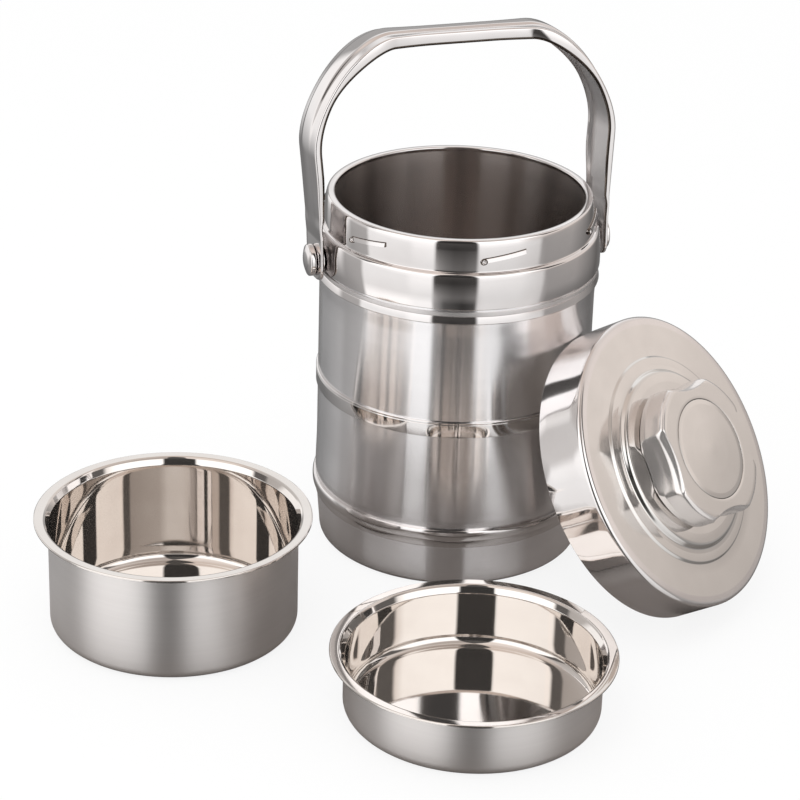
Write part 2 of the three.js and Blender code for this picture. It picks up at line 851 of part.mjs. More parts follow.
function knobScrewGeometry() {
  const headTop = bossTopHeight - sheet - 2 * seatGap - screwWasherSheet;
  const outline = [
    [0, headTop - screwHeadRise],
    [screwHeadRadius - screwHeadRise / 2, headTop - screwHeadRise],
    [screwHeadRadius, headTop - screwHeadRise / 2],
    [screwHeadRadius, headTop],
    [lidScrewRadius, headTop],
    [lidScrewRadius, headTop + screwLength],
    [0, headTop + screwLength],
  ];
  return turned(outline, smallSides);
}

// The lid's pieces about their own axis, with the skirt's open edge at the group's Z = 0
function lidGroup() {
  const group = new Group();
  group.add(
    piece("lid_cover", lidCoverGeometry(), polished),
    piece("lid_pan", lidPanGeometry(), polished),
    piece("lid_insulation", lidInsulationGeometry(), foam),
    piece("lid_gasket", gasketGeometry(), silicone),
    piece("lid_lock_ring", lockRingGeometry(), brushed),
    piece("knob_shell", knobGeometry(), polished),
    piece("knob_cap", knobCapGeometry(), polished),
    piece("knob_insert", insertGeometry(), plastic),
    piece("knob_screw", knobScrewGeometry(), brushed),
    piece("knob_screw_washer", screwWasherGeometry(), brushed),
  );
  return group;
}

// The distance from the pot's axis at which the leaning lid's open edge just clears the round wall
function leaningDistance() {
  const edgeReach = lidRadius * Math.sin(radians(lidLeanRise));
  const wall = bodyRadius + seatGap;
  const clears = (distance) => {
    for (let step = 0; step <= leanTurnSteps; step += 1) {
      const angle = (2 * Math.PI * step) / leanTurnSteps;
      const along = distance - edgeReach * Math.cos(angle);
      const across = lidRadius * Math.sin(angle);
      if (Math.hypot(along, across) < wall) return false;
    }
    return true;
  };
  let near = wall;
  let far = wall + 2 * lidRadius;
  for (let step = 0; step < leanHalvings; step += 1) {
    const middle = (near + far) / 2;
    if (clears(middle)) far = middle;
    else near = middle;
  }
  return far;
}

// The lid as it leans: its lowest point on the floor, its open edge against the pot's wall
function leaningLid() {
  const turn = radians(lidLeanTurn);
  const rise = radians(lidLeanRise);
  const distance = leaningDistance();
  const group = lidGroup();
  group.rotation.order = "ZYX";
  group.rotation.z = turn;
  group.rotation.x = Math.PI / 2 - rise;
  group.position.set(distance * Math.sin(turn), -distance * Math.cos(turn), lidRadius * Math.cos(rise));
  return group;
}

// A serving bowl: flat floor, rounded corner, straight wall and a curled flat rim
function bowlGeometry(height) {
  const cornerRadius = bowlWallRadius - bowlCorner;
  const insideCorner = bowlCorner - sheet;
  const innerRadius = bowlWallRadius - sheet;
  const flareRadius = bowlWallRadius + bowlFlareWidth;
  const outline = [
    [0, 0],
    ...arc(cornerRadius, bowlCorner, bowlCorner, bowlCorner, downShare, outShare, insideSteps),
    [bowlWallRadius, height - bowlFlareWidth - sheet],
    [flareRadius, height - sheet],
    [bowlRimRadius - sheet, height - sheet],
    [bowlRimRadius - sheet, height - bowlEdgeHeight],
    [bowlRimRadius, height - bowlEdgeHeight],
    [bowlRimRadius, height - sheet / 2],
    [bowlRimRadius - sheet / 2, height],
    [flareRadius - sheet / 2, height],
    [innerRadius, height - bowlFlareWidth - sheet / 2],
    ...arc(cornerRadius, bowlCorner, insideCorner, insideCorner, outShare, downShare, insideSteps),
    [0, sheet],
  ];
  return turned(outline, shownSides);
}

// A bowl standing at the given distance from the pot's wall, in the given direction from its axis
function bowl(name, height, distance, turn) {
  const reach = bandRadius + distance + bowlRimRadius;
  const mesh = piece(name, bowlGeometry(height), brushed);
  mesh.position.set(reach * Math.cos(radians(turn)), reach * Math.sin(radians(turn)), 0);
  return mesh;
}

const bail = new Group();
bail.add(piece("bail_handle", bailGeometry(), polished));
bail.rotation.x = -radians(bailLean);
bail.position.z = pivotHeight;

const part = new Group();
part.name = "insulated_food_carrier";
part.add(
  piece("pot_collar", collarGeometry(), polished),
  piece("pot_body_shell", bodyShellGeometry(), brushed),
  piece("pot_hem_ring", beadGeometry(hemRingBottom, hemRingTop, hemRingRadius), polished),
  piece("pot_middle_band", middleBandGeometry(), polished),
  piece("pot_foot_bead", beadGeometry(footBeadBottom, footBeadTop, footBeadRadius), polished),
  piece("pot_base_cup", baseCupGeometry(), brushed),
  piece("pot_liner", linerGeometry(), darkSteel),
  piece("pot_insulation", insulationGeometry(), foam),
  pivotGroup(1, "right"),
  pivotGroup(-1, "left"),
  bail,
  leaningLid(),
  bowl("deep_bowl", deepBowlHeight, deepBowlDistance, deepBowlTurn),
  bowl("shallow_bowl", shallowBowlHeight, shallowBowlDistance, shallowBowlTurn),
);

export default part;
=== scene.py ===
"""Insulated steel food carrier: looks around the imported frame.

The frame is the part's own: metres, +Z up, the pot's axis on Z, its base on Z = 0.
Shapes below are drawn in millimetres and scaled once, when a mesh is made.
"""

import math

import bmesh
import bpy
from mathutils import Matrix, Vector


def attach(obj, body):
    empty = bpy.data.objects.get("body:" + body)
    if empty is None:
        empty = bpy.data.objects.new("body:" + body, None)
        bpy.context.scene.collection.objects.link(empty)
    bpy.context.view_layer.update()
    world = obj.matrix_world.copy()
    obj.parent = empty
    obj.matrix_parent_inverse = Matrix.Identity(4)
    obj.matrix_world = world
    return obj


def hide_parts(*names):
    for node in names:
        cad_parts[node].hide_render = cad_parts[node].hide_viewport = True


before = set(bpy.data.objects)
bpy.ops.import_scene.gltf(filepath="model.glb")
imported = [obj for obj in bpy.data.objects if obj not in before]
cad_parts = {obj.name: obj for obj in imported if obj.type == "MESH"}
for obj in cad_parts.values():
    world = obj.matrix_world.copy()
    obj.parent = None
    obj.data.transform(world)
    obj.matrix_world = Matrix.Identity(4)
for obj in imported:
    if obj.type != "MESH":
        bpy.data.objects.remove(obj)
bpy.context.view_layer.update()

MM = 0.001
SIDES = 256
FINE_SIDES = 720
SMALL_SIDES = 96
SLOPE_STEPS = 6
BEND_STEPS = 8
LONGEST_FILLET = 0.49
SHEET = 0.8

# Outlines


def rounded(corners, steps=6):
    """An outline from (radius, height, fillet) corners, each corner rounded by its fillet."""
    points = []
    last = len(corners) - 1
    for index, (radius, height, fillet) in enumerate(corners):
        here = Vector((radius, height))
        if fillet <= 0 or index in (0, last):
            points.append((here.x, here.y))
            continue
        back = Vector(corners[index - 1][:2]) - here
        ahead = Vector(corners[index + 1][:2]) - here
        turn = back.angle(ahead)
        reach = min(fillet / math.tan(turn / 2), LONGEST_FILLET * back.length, LONGEST_FILLET * ahead.length)
        real = reach * math.tan(turn / 2)
        middle = here + (back.normalized() + ahead.normalized()).normalized() * (real / math.sin(turn / 2))
        start = here + back.normalized() * reach - middle
        end = here + ahead.normalized() * reach - middle
        sweep = start.angle_signed(end)
        for step in range(steps + 1):
            spoke = start.copy()
            spoke.rotate(Matrix.Rotation(-sweep * step / steps, 2))
            points.append((middle.x + spoke.x, middle.y + spoke.y))
    return points


def dense(points, reach):
    """The same outline with no stretch longer than reach."""
    result = [points[0]]
    for (r0, z0), (r1, z1) in zip(points, points[1:]):
        count = max(1, math.ceil(math.hypot(r1 - r0, z1 - z0) / reach))
        for step in range(1, count + 1):
            result.append((r0 + (r1 - r0) * step / count, z0 + (z1 - z0) * step / count))
    return result


def slope(start, stretches):
    """A curve up from start. Each stretch reaches a height while its lean goes from one angle to another."""
    radius, height = start
    points = []
    for top, first, last in stretches:
        rise = (top - height) / SLOPE_STEPS
        for step in range(SLOPE_STEPS):
            lean = math.radians(first + (last - first) * (step + 0.5) / SLOPE_STEPS)
            radius -= rise * math.tan(lean)
            height += rise
            points.append((radius, height))
    return points


def bend(start, fillet, first, last):
    """A convex fillet on from start, its lean going from one angle to the next."""
    points = []
    for step in range(1, BEND_STEPS + 1):
        lean = math.radians(first + (last - first) * step / BEND_STEPS)
        across = fillet * (math.cos(math.radians(first)) - math.cos(lean))
        up = fillet * (math.sin(lean) - math.sin(math.radians(first)))
        points.append((start[0] - across, start[1] + up))
    return points


def ease(low, high, value):
    """A smooth step from 0 at low to 1 at high."""
    share = min(max((value - low) / (high - low), 0), 1)
    return share * share * (3 - 2 * share)


# Meshes


def finish_mesh(name, mesh_data, body, nodes, materials, place=None, sharp=38):
    """Makes the object, smooths it, lets it stand for its CAD nodes and gives it its materials."""
    mesh = bpy.data.meshes.new(name)
    bmesh.ops.recalc_face_normals(mesh_data, faces=mesh_data.faces)
    mesh_data.to_mesh(mesh)
    mesh_data.free()
    mesh.shade_smooth()
    mesh.set_sharp_from_angle(angle=math.radians(sharp))
    thing = bpy.data.objects.new(name, mesh)
    bpy.context.scene.collection.objects.link(thing)
    if place is not None:
        thing.matrix_world = place
    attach(thing, body)
    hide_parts(*nodes)
    for material in materials:
        mesh.materials.append(material)


def ring_mesh(rows, paints, closed=False):
    """A mesh from rows of points round an axis. A row with one point is a pole."""
    data = bmesh.new()
    uv = data.loops.layers.uv.new("UVMap")
    made = [[data.verts.new(Vector(point) * MM) for point in row] for row in rows]
    far = 0.0
    reaches = [0.0]
    for one, two in zip(rows, rows[1:]):
        far += (Vector(one[0]) - Vector(two[0])).length / 100
        reaches.append(far)
    pairs = list(range(len(rows) - 1))
    if closed:
        pairs.append(len(rows) - 1)
    for index in pairs:
        following = (index + 1) % len(rows)
        low, high = made[index], made[following]
        count = max(len(low), len(high))
        if count == 1:
            continue
        v0 = reaches[index]
        v1 = reaches[following] if following else far
        for side in range(count):
            nxt = (side + 1) % count
            corners, spots = [], []
            if len(low) > 1:
                corners += [low[side], low[nxt]]
                spots += [(side / count, v0), ((side + 1) / count, v0)]
            else:
                corners.append(low[0])
                spots.append(((side + 0.5) / count, v0))
            if len(high) > 1:
                corners += [high[nxt], high[side]]
                spots += [((side + 1) / count, v1), (side / count, v1)]
            else:
                corners.append(high[0])
                spots.append(((side + 0.5) / count, v1))
            face = data.faces.new(corners)
            face.material_index = paints[index] if isinstance(paints, list) else paints
            for loop, spot in zip(face.loops, spots):
                loop[uv].uv = spot
    return data


def turned_rows(outline, sides=SIDES, shift=None):
    """Rows of a turned shape. The seam lies at the back. shift moves a point's radius."""
    rows = []
    for radius, height in outline:
        if radius < 1e-6:
            rows.append([(0, 0, height)])
            continue
        row = []
        for side in range(sides):
            angle = math.pi / 2 + 2 * math.pi * side / sides
            reach = radius + (shift(angle, radius, height) if shift else 0)
            row.append((reach * math.cos(angle), reach * math.sin(angle), height))
        rows.append(row)
    return rows


def turned(
    name, outline, body, nodes, materials, paint=None, closed=False, place=None, sides=SIDES, shift=None
):
    """A turned piece. paint gives the number of the material of the stretch that starts at each point."""
    rows = turned_rows(outline, sides, shift)
    paints = [paint(*spot) for spot in outline] if paint else 0
    finish_mesh(name, ring_mesh(rows, paints, closed), body, nodes, materials, place)


# Materials

SCUFF_DEPTH = 0.000004
SCRATCH_DEPTH = 0.0000015
GRAIN = (400, 400, 400)


def node_material(name, metallic):
    material = bpy.data.materials.new(name)
    material.use_nodes = True
    tree = material.node_tree
    shader = tree.nodes["Principled BSDF"]
    shader.inputs["Metallic"].default_value = metallic
    return material, tree, shader


def add(tree, kind, **settings):
    node = tree.nodes.new(kind)
    for key, value in settings.items():
        setattr(node, key, value)
    return node


def noise(tree, vector, scale, detail):
    mapping = add(tree, "ShaderNodeMapping")
    mapping.inputs["Scale"].default_value = scale
    texture = add(tree, "ShaderNodeTexNoise")
    texture.inputs["Scale"].default_value = 1.0
    texture.inputs["Detail"].default_value = detail
    tree.links.new(vector, mapping.inputs["Vector"])
    tree.links.new(mapping.outputs["Vector"], texture.inputs["Vector"])
    return texture.outputs["Fac"]


def spread(tree, value, low, high, from_low=0.3, from_high=0.7):
    """Maps the value from one range onto another, and holds it inside."""
    node = add(tree, "ShaderNodeMapRange")
    node.inputs["From Min"].default_value = from_low
    node.inputs["From Max"].default_value = from_high
    node.inputs["To Min"].default_value = low
    node.inputs["To Max"].default_value = high
    tree.links.new(value, node.inputs["Value"])
    return node.outputs["Result"]


def blend(tree, value, first, second):
    """Mixes two colours, each a triple or another node's output, by the value."""
    node = add(tree, "ShaderNodeMix", data_type="RGBA")
    tree.links.new(value, node.inputs["Factor"])
    start, end = (socket for socket in node.inputs if socket.type == "RGBA")
    for socket, colour in ((start, first), (end, second)):
        if isinstance(colour, tuple):
            socket.default_value = (*colour, 1)
        else:
            tree.links.new(colour, socket)
    return next(socket for socket in node.outputs if socket.type == "RGBA")


def bump(tree, value, strength, distance, under=None):
    node = add(tree, "ShaderNodeBump")
    node.inputs["Strength"].default_value = strength
    node.inputs["Distance"].default_value = distance
    tree.links.new(value, node.inputs["Height"])
    if under is not None:
        tree.links.new(under, node.inputs["Normal"])
    return node.outputs["Normal"]


def around(tree, shader, amount):
    """Stretches the gloss upright, across the brushing, which runs round the axis."""
    tangent = add(tree, "ShaderNodeTangent", direction_type="UV_MAP", uv_map="UVMap")
    shader.inputs["Anisotropic"].default_value = amount
    shader.inputs["Anisotropic Rotation"].default_value = 0.25
    tree.links.new(tangent.outputs["Tangent"], shader.inputs["Tangent"])


def polished_steel(name, light, dark, rough=(0.03, 0.08), wave=0.00012, spun=0.0, metallic=1.0):
    """Mirror steel: slight waves of the pressed sheet, smudges and fine scuffs."""
    material, tree, shader = node_material(name, metallic)
    place = add(tree, "ShaderNodeTexCoord").outputs["Object"]
    smudge = noise(tree, place, (38, 38, 38), 4)
    scuff = noise(tree, place, (900, 900, 2600), 3)
    waves = noise(tree, place, (22, 22, 22), 1)
    tree.links.new(blend(tree, spread(tree, smudge, 0, 1), light, dark), shader.inputs["Base Color"])
    tree.links.new(spread(tree, smudge, *rough), shader.inputs["Roughness"])
    first = bump(tree, waves, 1.0, wave)
    tree.links.new(bump(tree, scuff, 0.25, SCUFF_DEPTH, first), shader.inputs["Normal"])
    if spun:
        around(tree, shader, spun)
    return material


def brushed_steel(name, light, dark, rough, amount):
    """Satin steel, brushed round the wall: fine lines, broader bands and a few handling marks."""
    material, tree, shader = node_material(name, 1.0)
    place = add(tree, "ShaderNodeTexCoord").outputs["Object"]
    lines = noise(tree, place, (5, 5, 760), 2)
    bands = noise(tree, place, (3, 3, 150), 3)
    marks = noise(tree, place, (30, 30, 30), 2)
    mixed = add(tree, "ShaderNodeMath", operation="ADD")
    tree.links.new(lines, mixed.inputs[0])
    tree.links.new(bands, mixed.inputs[1])
    tone = spread(tree, mixed.outputs[0], 0, 1, 0.4, 1.6)
    tree.links.new(blend(tree, tone, dark, light), shader.inputs["Base Color"])
    tree.links.new(spread(tree, marks, *rough, 0.2, 0.8), shader.inputs["Roughness"])
    tree.links.new(bump(tree, lines, 0.5, SCRATCH_DEPTH), shader.inputs["Normal"])
    around(tree, shader, amount)
    return material


def plain_surface(name, light, dark, rough, depth=0.00005):
    """Foam, rubber or plastic: fine grain and slightly uneven colour."""
    material, tree, shader = node_material(name, 0.0)
    place = add(tree, "ShaderNodeTexCoord").outputs["Object"]
    fine = noise(tree, place, GRAIN, 4)
    broad = noise(tree, place, (30, 30, 30), 3)
    tree.links.new(blend(tree, spread(tree, broad, 0, 1), light, dark), shader.inputs["Base Color"])
    tree.links.new(spread(tree, fine, *rough), shader.inputs["Roughness"])
    tree.links.new(bump(tree, fine, 0.6, depth), shader.inputs["Normal"])
    return material


PALE_STEEL = (0.84, 0.81, 0.80), (0.79, 0.755, 0.745)
POLISHED = polished_steel("polished_steel", *PALE_STEEL)
SPUN = polished_steel(
    "spun_steel", (0.82, 0.795, 0.77), (0.77, 0.745, 0.72), rough=(0.07, 0.12), wave=0.00006, spun=0.5
)
BAND_STEEL = polished_steel(
    "band_steel", (0.86, 0.835, 0.825), (0.82, 0.795, 0.785), rough=(0.05, 0.07), wave=0.00002, spun=1.0
)
# Dark steel that paints shade lines along pressed edges.
EDGE_SHADE_STEEL = polished_steel("edge_shade_steel", (0.17, 0.14, 0.12), (0.11, 0.09, 0.075), rough=(0.12, 0.2))
KNOB_STEEL = polished_steel(
    "knob_steel", (0.86, 0.82, 0.80), (0.82, 0.78, 0.76), rough=(0.17, 0.21), wave=0.00006, metallic=0.80
)
LID_STEEL = polished_steel("lid_steel", *PALE_STEEL, metallic=0.97)
# A darker copy of the pale steel, painted shade for parts that lie under others; it is also rougher.
SHADED_UNDER_STEEL = polished_steel(
    "shaded_under_steel", (0.74, 0.71, 0.70), (0.66, 0.63, 0.62), rough=(0.26, 0.34), wave=0.00006, metallic=0.85
)
BOWL_STEEL = polished_steel(
    "bowl_steel", (0.81, 0.77, 0.735), (0.77, 0.725, 0.69), rough=(0.02, 0.05), wave=0.00008, metallic=0.98
)
BRUSHED = brushed_steel(
    "brushed_steel", (0.96, 0.945, 0.95), (0.91, 0.89, 0.895), rough=(0.16, 0.19), amount=1.0
)
SATIN = brushed_steel(
    "satin_steel", (0.84, 0.81, 0.795), (0.79, 0.76, 0.745), rough=(0.39, 0.45), amount=0.6
)
LINER = brushed_steel(
    "liner_steel", (0.66, 0.605, 0.575), (0.58, 0.53, 0.505), rough=(0.22, 0.25), amount=1.0
)
FOAM = plain_surface("foam", (0.86, 0.80, 0.63), (0.72, 0.65, 0.47), (0.8, 0.95), depth=0.0003)
SILICONE = plain_surface("silicone", (0.84, 0.84, 0.83), (0.76, 0.76, 0.75), (0.45, 0.6))
PLASTIC = plain_surface("insert_plastic", (0.05, 0.05, 0.055), (0.03, 0.03, 0.032), (0.35, 0.55))

# Pot

BODY = 75.3
BAND = 77.3
NECK = 73.5
PIVOT = 170.5
SHELL_INNER = 74.4
BASE_TOP = 29
HEM_LOW, HEM_TOP = 157.2, 164.1
SEAT = BODY + 0.25

COLLAR_LOW = 165.6
BAND_STRAIGHT_TOP = 172
BAND_TOP = 183.4
BAND_LEAN = 11
NECK_LOW = 186.2
NECK_STRETCHES = [(190, 0, 2), (197, 2, 6), (200.4, 6, 13)]
LIP_LOW = 201.8
LIP_LEAN = 26
MOUTH = 67.7

RAMPS = 6
RAMP_TURN = -89.2
RAMP_MIDDLE = 193.6
RAMP_HALF = 23.5 / 2
RAMP_SLOPE = 3.2 / 23.5
RIB_HALF = 1.4
BULB = 1.9
BULB_DROP = 0.5
RAMP_STRIPS = 20


def neck_radius(height):
    """The neck's radius at a height: it leans in a little more towards the lip."""
    spots = [(NECK, NECK_LOW)] + slope((NECK, NECK_LOW), NECK_STRETCHES)
    for (r0, z0), (r1, z1) in zip(spots, spots[1:]):
        if height <= z1:
            return r0 + (r1 - r0) * (height - z0) / (z1 - z0)
    return spots[-1][0]


def ramp_halves(off):
    """How far a ramp reaches up and down from its middle line, at a distance from its low end."""
    rib = RIB_HALF if off > 0 else 0
    bulb = math.sqrt(max(BULB ** 2 - off ** 2, 0)) if off < BULB else 0
    upper = max(rib, bulb - BULB_DROP) if off > -BULB else 0
    lower = max(rib, bulb + BULB_DROP * (1 if bulb > 0.5 else bulb))
    return upper, lower


def add_ramps(data):
    """The embossed ramps: sloping ribs, a squared high end and a dimpled low end, with painted shade lines
    along the edges, at the ends and round each dimple.
    """
    spots = [-RAMP_HALF - BULB + 0.1 * step for step in range(1, 40)]
    while spots[-1] < RAMP_HALF - 0.6:
        spots.append(spots[-1] + 0.5)
    spots += [RAMP_HALF - 0.45, RAMP_HALF - 0.3, RAMP_HALF - 0.15, RAMP_HALF]
    shares = [-1 + 2 * step / RAMP_STRIPS for step in range(RAMP_STRIPS + 1)]
    for ramp in range(RAMPS):
        centre = math.radians(RAMP_TURN + 360 / RAMPS * ramp)
        rows, dimple_shade = [], []
        for along in spots:
            off = along + RAMP_HALF
            upper, lower = ramp_halves(off)
            fall = 1 - ease(RAMP_HALF - 0.4, RAMP_HALF, along)
            row, shade_rings = [], []
            for share in shares:
                reach = upper if share > 0 else lower
                across = share * reach
                away = math.hypot(off, across + BULB_DROP)
                shade_rings.append(1.15 < away < 1.75)
                lift = (1.05 - 0.3 * share) * ease(0, 0.4, reach * (1 - abs(share))) * fall
                lift -= 0.9 * (1 - ease(0.5, 1.05, away))
                height = RAMP_MIDDLE + RAMP_SLOPE * along + across
                radius = neck_radius(height) - 0.04 + lift
                angle = centre + along / NECK
                spot = Vector((radius * math.cos(angle), radius * math.sin(angle), height)) * MM
                row.append(data.verts.new(spot))
            rows.append(row)
            dimple_shade.append(shade_rings)
        for place, (one, two) in enumerate(zip(rows, rows[1:])):
            for strip in range(RAMP_STRIPS):
                face = data.faces.new((one[strip], two[strip], two[strip + 1], one[strip + 1]))
                side = min(strip, RAMP_STRIPS - 1 - strip)
                # Material 1 paints shade lines along the rib's edges, at its ends and round the dimple.
                if side < 2 or place < 2 or place > len(rows) - 5 or dimple_shade[place][strip]:
                    face.material_index = 1


def make_collar():
    band = rounded([(BODY + 0.2, COLLAR_LOW, 0), (BAND, COLLAR_LOW, 0.5), (BAND, BAND_STRAIGHT_TOP, 0)])
    band += slope((BAND, BAND_STRAIGHT_TOP), [(BAND_TOP, 0, BAND_LEAN)])
    band += bend(band[-1], 2.5, BAND_LEAN, 84)
    ledge = band[-1][1]
    foot = [(NECK + 0.35, ledge + 0.05), (NECK + 0.1, ledge + 0.2), (NECK, ledge + 0.45)]
    neck = slope(foot[-1], NECK_STRETCHES + [(LIP_LOW, 13, LIP_LEAN)])
    lip = bend(neck[-1], 1.35, LIP_LEAN, 90)
    top = lip[-1][1]
    curl = 200.2
    lip += rounded([(69.6, top, 0), (MOUTH, top, 1.5), (MOUTH, curl, 0)], 8)
    inside = [(MOUTH + 0.7, curl), (68.9, 201.6), (70.2, 201.6), (71.4, 199.2), (NECK - 1, NECK_LOW)]
    inside += [(BODY + 0.3, 182.4), (BAND - 0.9, COLLAR_LOW + 0.8), (BODY + 0.2, COLLAR_LOW + 0.8)]
    data = ring_mesh(turned_rows(band + foot + neck + lip + inside), 0, closed=True)
    add_ramps(data)
    finish_mesh("collar", data, "pot", ["pot_collar"], [POLISHED, EDGE_SHADE_STEEL])


def make_shell():
    """The outer wall: straight, but a little wider at both ends."""
    low, top = BASE_TOP + 0.3, 166
    outer = []
    heights = [low, 33, 36, 38, 41, 45, 50, 56, 63, 75, 90, 100, 120, 140]
    heights += [148, 151, 154, 157, 160, 163, top]
    for height in heights:
        flare = 0.55 * (1 - ease(38, 62, height)) + 0.8 * ease(147, 161, height)
        if height < 37:
            flare = 0.2
        outer.append((BODY + flare, height))
    inner = [(SHELL_INNER, top), (SHELL_INNER, low)]
    turned("body_shell", outer + inner, "pot", ["pot_body_shell"], [BRUSHED], closed=True)


def make_foot_bead():
    low, high = BASE_TOP, BASE_TOP + 6.4
    reach = 77.4 - SEAT - 1
    middle = (low + high) / 2
    outline = [(SEAT, low)]
    for step in range(15):
        angle = -math.pi / 2 + math.pi * step / 14
        outline.append((SEAT + 1 + reach * math.cos(angle), middle + (high - low) / 2 * math.sin(angle)))
    outline.append((SEAT, high))
    turned("foot_bead", outline, "pot", ["pot_foot_bead"], [POLISHED], closed=True)


def make_hem_ring():
    """A bead that faces up a little, and a thin upright strip above it, in darker steel as painted shade."""
    groove = HEM_LOW + 4.4
    strip = BODY + 1.4
    outline = rounded(
        [
            (SEAT, HEM_LOW, 0),
            (BODY + 2.1, HEM_LOW, 0.6),
            (BODY + 1.15, groove - 0.5, 0.25),
            (BODY + 0.95, groove, 0.15),
            (strip + 0.05, groove + 0.4, 0.2),
            (strip, HEM_TOP, 0.25),
            (SEAT, HEM_TOP, 0),
        ]
    )
    turned(
        "hem_ring",
        outline,
        "pot",
        ["pot_hem_ring"],
        [POLISHED, SHADED_UNDER_STEEL],
        paint=lambda radius, height: 1 if height > groove - 0.1 else 0,
        closed=True,
    )


def make_middle_band():
    low, high = 91, 100
    line = high - 1.45
    face = BODY + 1
    outline = rounded(
        [
            (BODY + 0.1, low, 0),
            (face, low, 0.35),
            (face, line - 0.25, 0.1),
            (face - 0.25, line, 0.1),
            (face + 0.05, line + 0.35, 0.1),
            (face + 0.05, high, 0.4),
            (BODY + 0.1, high, 0),
        ]
    )
    turned("middle_band", outline, "pot", ["pot_middle_band"], [BAND_STEEL], closed=True)


def make_base_cup():
    wall_top = 24.4
    band = BODY + 0.4
    band_top = 28.85
    outline = rounded(
        [
            (0, 0, 0),
            (50.7, 0, 0.8),
            (52, 0.9, 0.8),
            (62, 0.9, 0.8),
            (63.3, 0, 0.8),
            (73.0, 0, 3.4),
            (75.0, wall_top, 0.2),
            (band, wall_top + 0.6, 0.4),
            (band, band_top, 0.3),
            (74.8, band_top, 0),
            (74.2, wall_top + 0.2, 0),
            (72.2, 5.2, 2),
            (69, 1.8, 1),
            (0, 1.8, 0),
        ]
    )
    turned(
        "base_cup",
        dense(outline, 6),
        "pot",
        ["pot_base_cup"],
        [BRUSHED, POLISHED],
        paint=lambda radius, height: 1 if radius > 74.9 and height > wall_top - 0.1 else 0,
    )


def make_liner():
    outer, floor, top = 68.7, 15, 200.4
    inner = outer - SHEET
    outline = rounded(
        [
            (0, floor, 0),
            (outer, floor, 12.8),
            (outer, top, 0.3),
            (inner, top, 0.3),
            (inner, floor + SHEET, 12),
            (0, floor + SHEET, 0),
        ],
        10,
    )
    turned("liner", dense(outline, 12), "pot", ["pot_liner"], [LINER])


def make_rivet(name, side, node):
    """A domed rivet along the pivots' line: inner head, shank and outer head."""
    inside, shank, head = 74.2, 2.6, 8.6
    face = 82.1
    outline = rounded(
        [
            (0, inside, 0),
            (3.5, inside, 0.2),
            (3.5, inside + 0.9, 0.2),
            (shank, inside + 0.9, 0),
            (shank, face, 0),
            (head - 0.5, face, 0.3),
            (head, face + 0.5, 0.3),
            (head, face + 3.1, 0.9),
            (5.0, face + 4.4, 5),
            (0, face + 4.7, 0),
        ]
    )
    place = Matrix.Translation((0, 0, PIVOT * MM)) @ Matrix.Rotation(side * math.pi / 2, 4, "Y")
    turned(name, outline, "pot", [node], [POLISHED], place=place, sides=SMALL_SIDES)


# Bail

LEAN = 6.4
TAB_END = -9.5
TAB_STEP = 0.5
ARM_STEPS = 40
KNEE_STEPS = 60
GRIP_STEPS = 24
ARM_FOOT = (81.8, 13)
ARM_TOP = (85.5, 60)
GRIP_RISE = 122.4
GRIP_HALF = 38
KNEE_LIFT = 27
KNEE_REACH = 23
TAB_HALF = 14
TAB_ROUND = 8
STRAP = 2
DEEPEN_FROM, DEEPEN_TO = 88, 122
STEP_SHARES = (0, 0.12, 0.24, 0.34, 0.42, 0.47, 0.52, 0.57, 0.64, 0.72, 0.80)
CORNER_STEPS = 6
OUTER_SPOTS = len(STEP_SHARES) + 1 + CORNER_STEPS


def bail_path():
    """Spots along the outer face's middle line from the right tab's end to the left one's."""
    arm_lean = (ARM_TOP[0] - ARM_FOOT[0]) / (ARM_TOP[1] - ARM_FOOT[1])
    knee = [
        Vector(ARM_TOP),
        Vector((ARM_TOP[0] + arm_lean * KNEE_LIFT, ARM_TOP[1] + KNEE_LIFT)),
        Vector((GRIP_HALF + KNEE_REACH, GRIP_RISE)),
        Vector((GRIP_HALF, GRIP_RISE)),
    ]
    tab_steps = round((ARM_FOOT[1] - TAB_END) / TAB_STEP)
    half = [Vector((ARM_FOOT[0], TAB_END + TAB_STEP * step)) for step in range(tab_steps + 1)]
    half += [Vector(ARM_FOOT).lerp(Vector(ARM_TOP), step / ARM_STEPS) for step in range(1, ARM_STEPS)]
    for step in range(KNEE_STEPS + 1):
        t = step / KNEE_STEPS
        half.append(
            knee[0] * (1 - t) ** 3
            + knee[1] * 3 * t * (1 - t) ** 2
            + knee[2] * 3 * t * t * (1 - t)
            + knee[3] * t ** 3
        )
    half += [Vector((GRIP_HALF * (1 - step / GRIP_STEPS), GRIP_RISE)) for step in range(1, GRIP_STEPS)]
    return half + [Vector((0, GRIP_RISE))] + [Vector((-spot.x, spot.y)) for spot in reversed(half)]


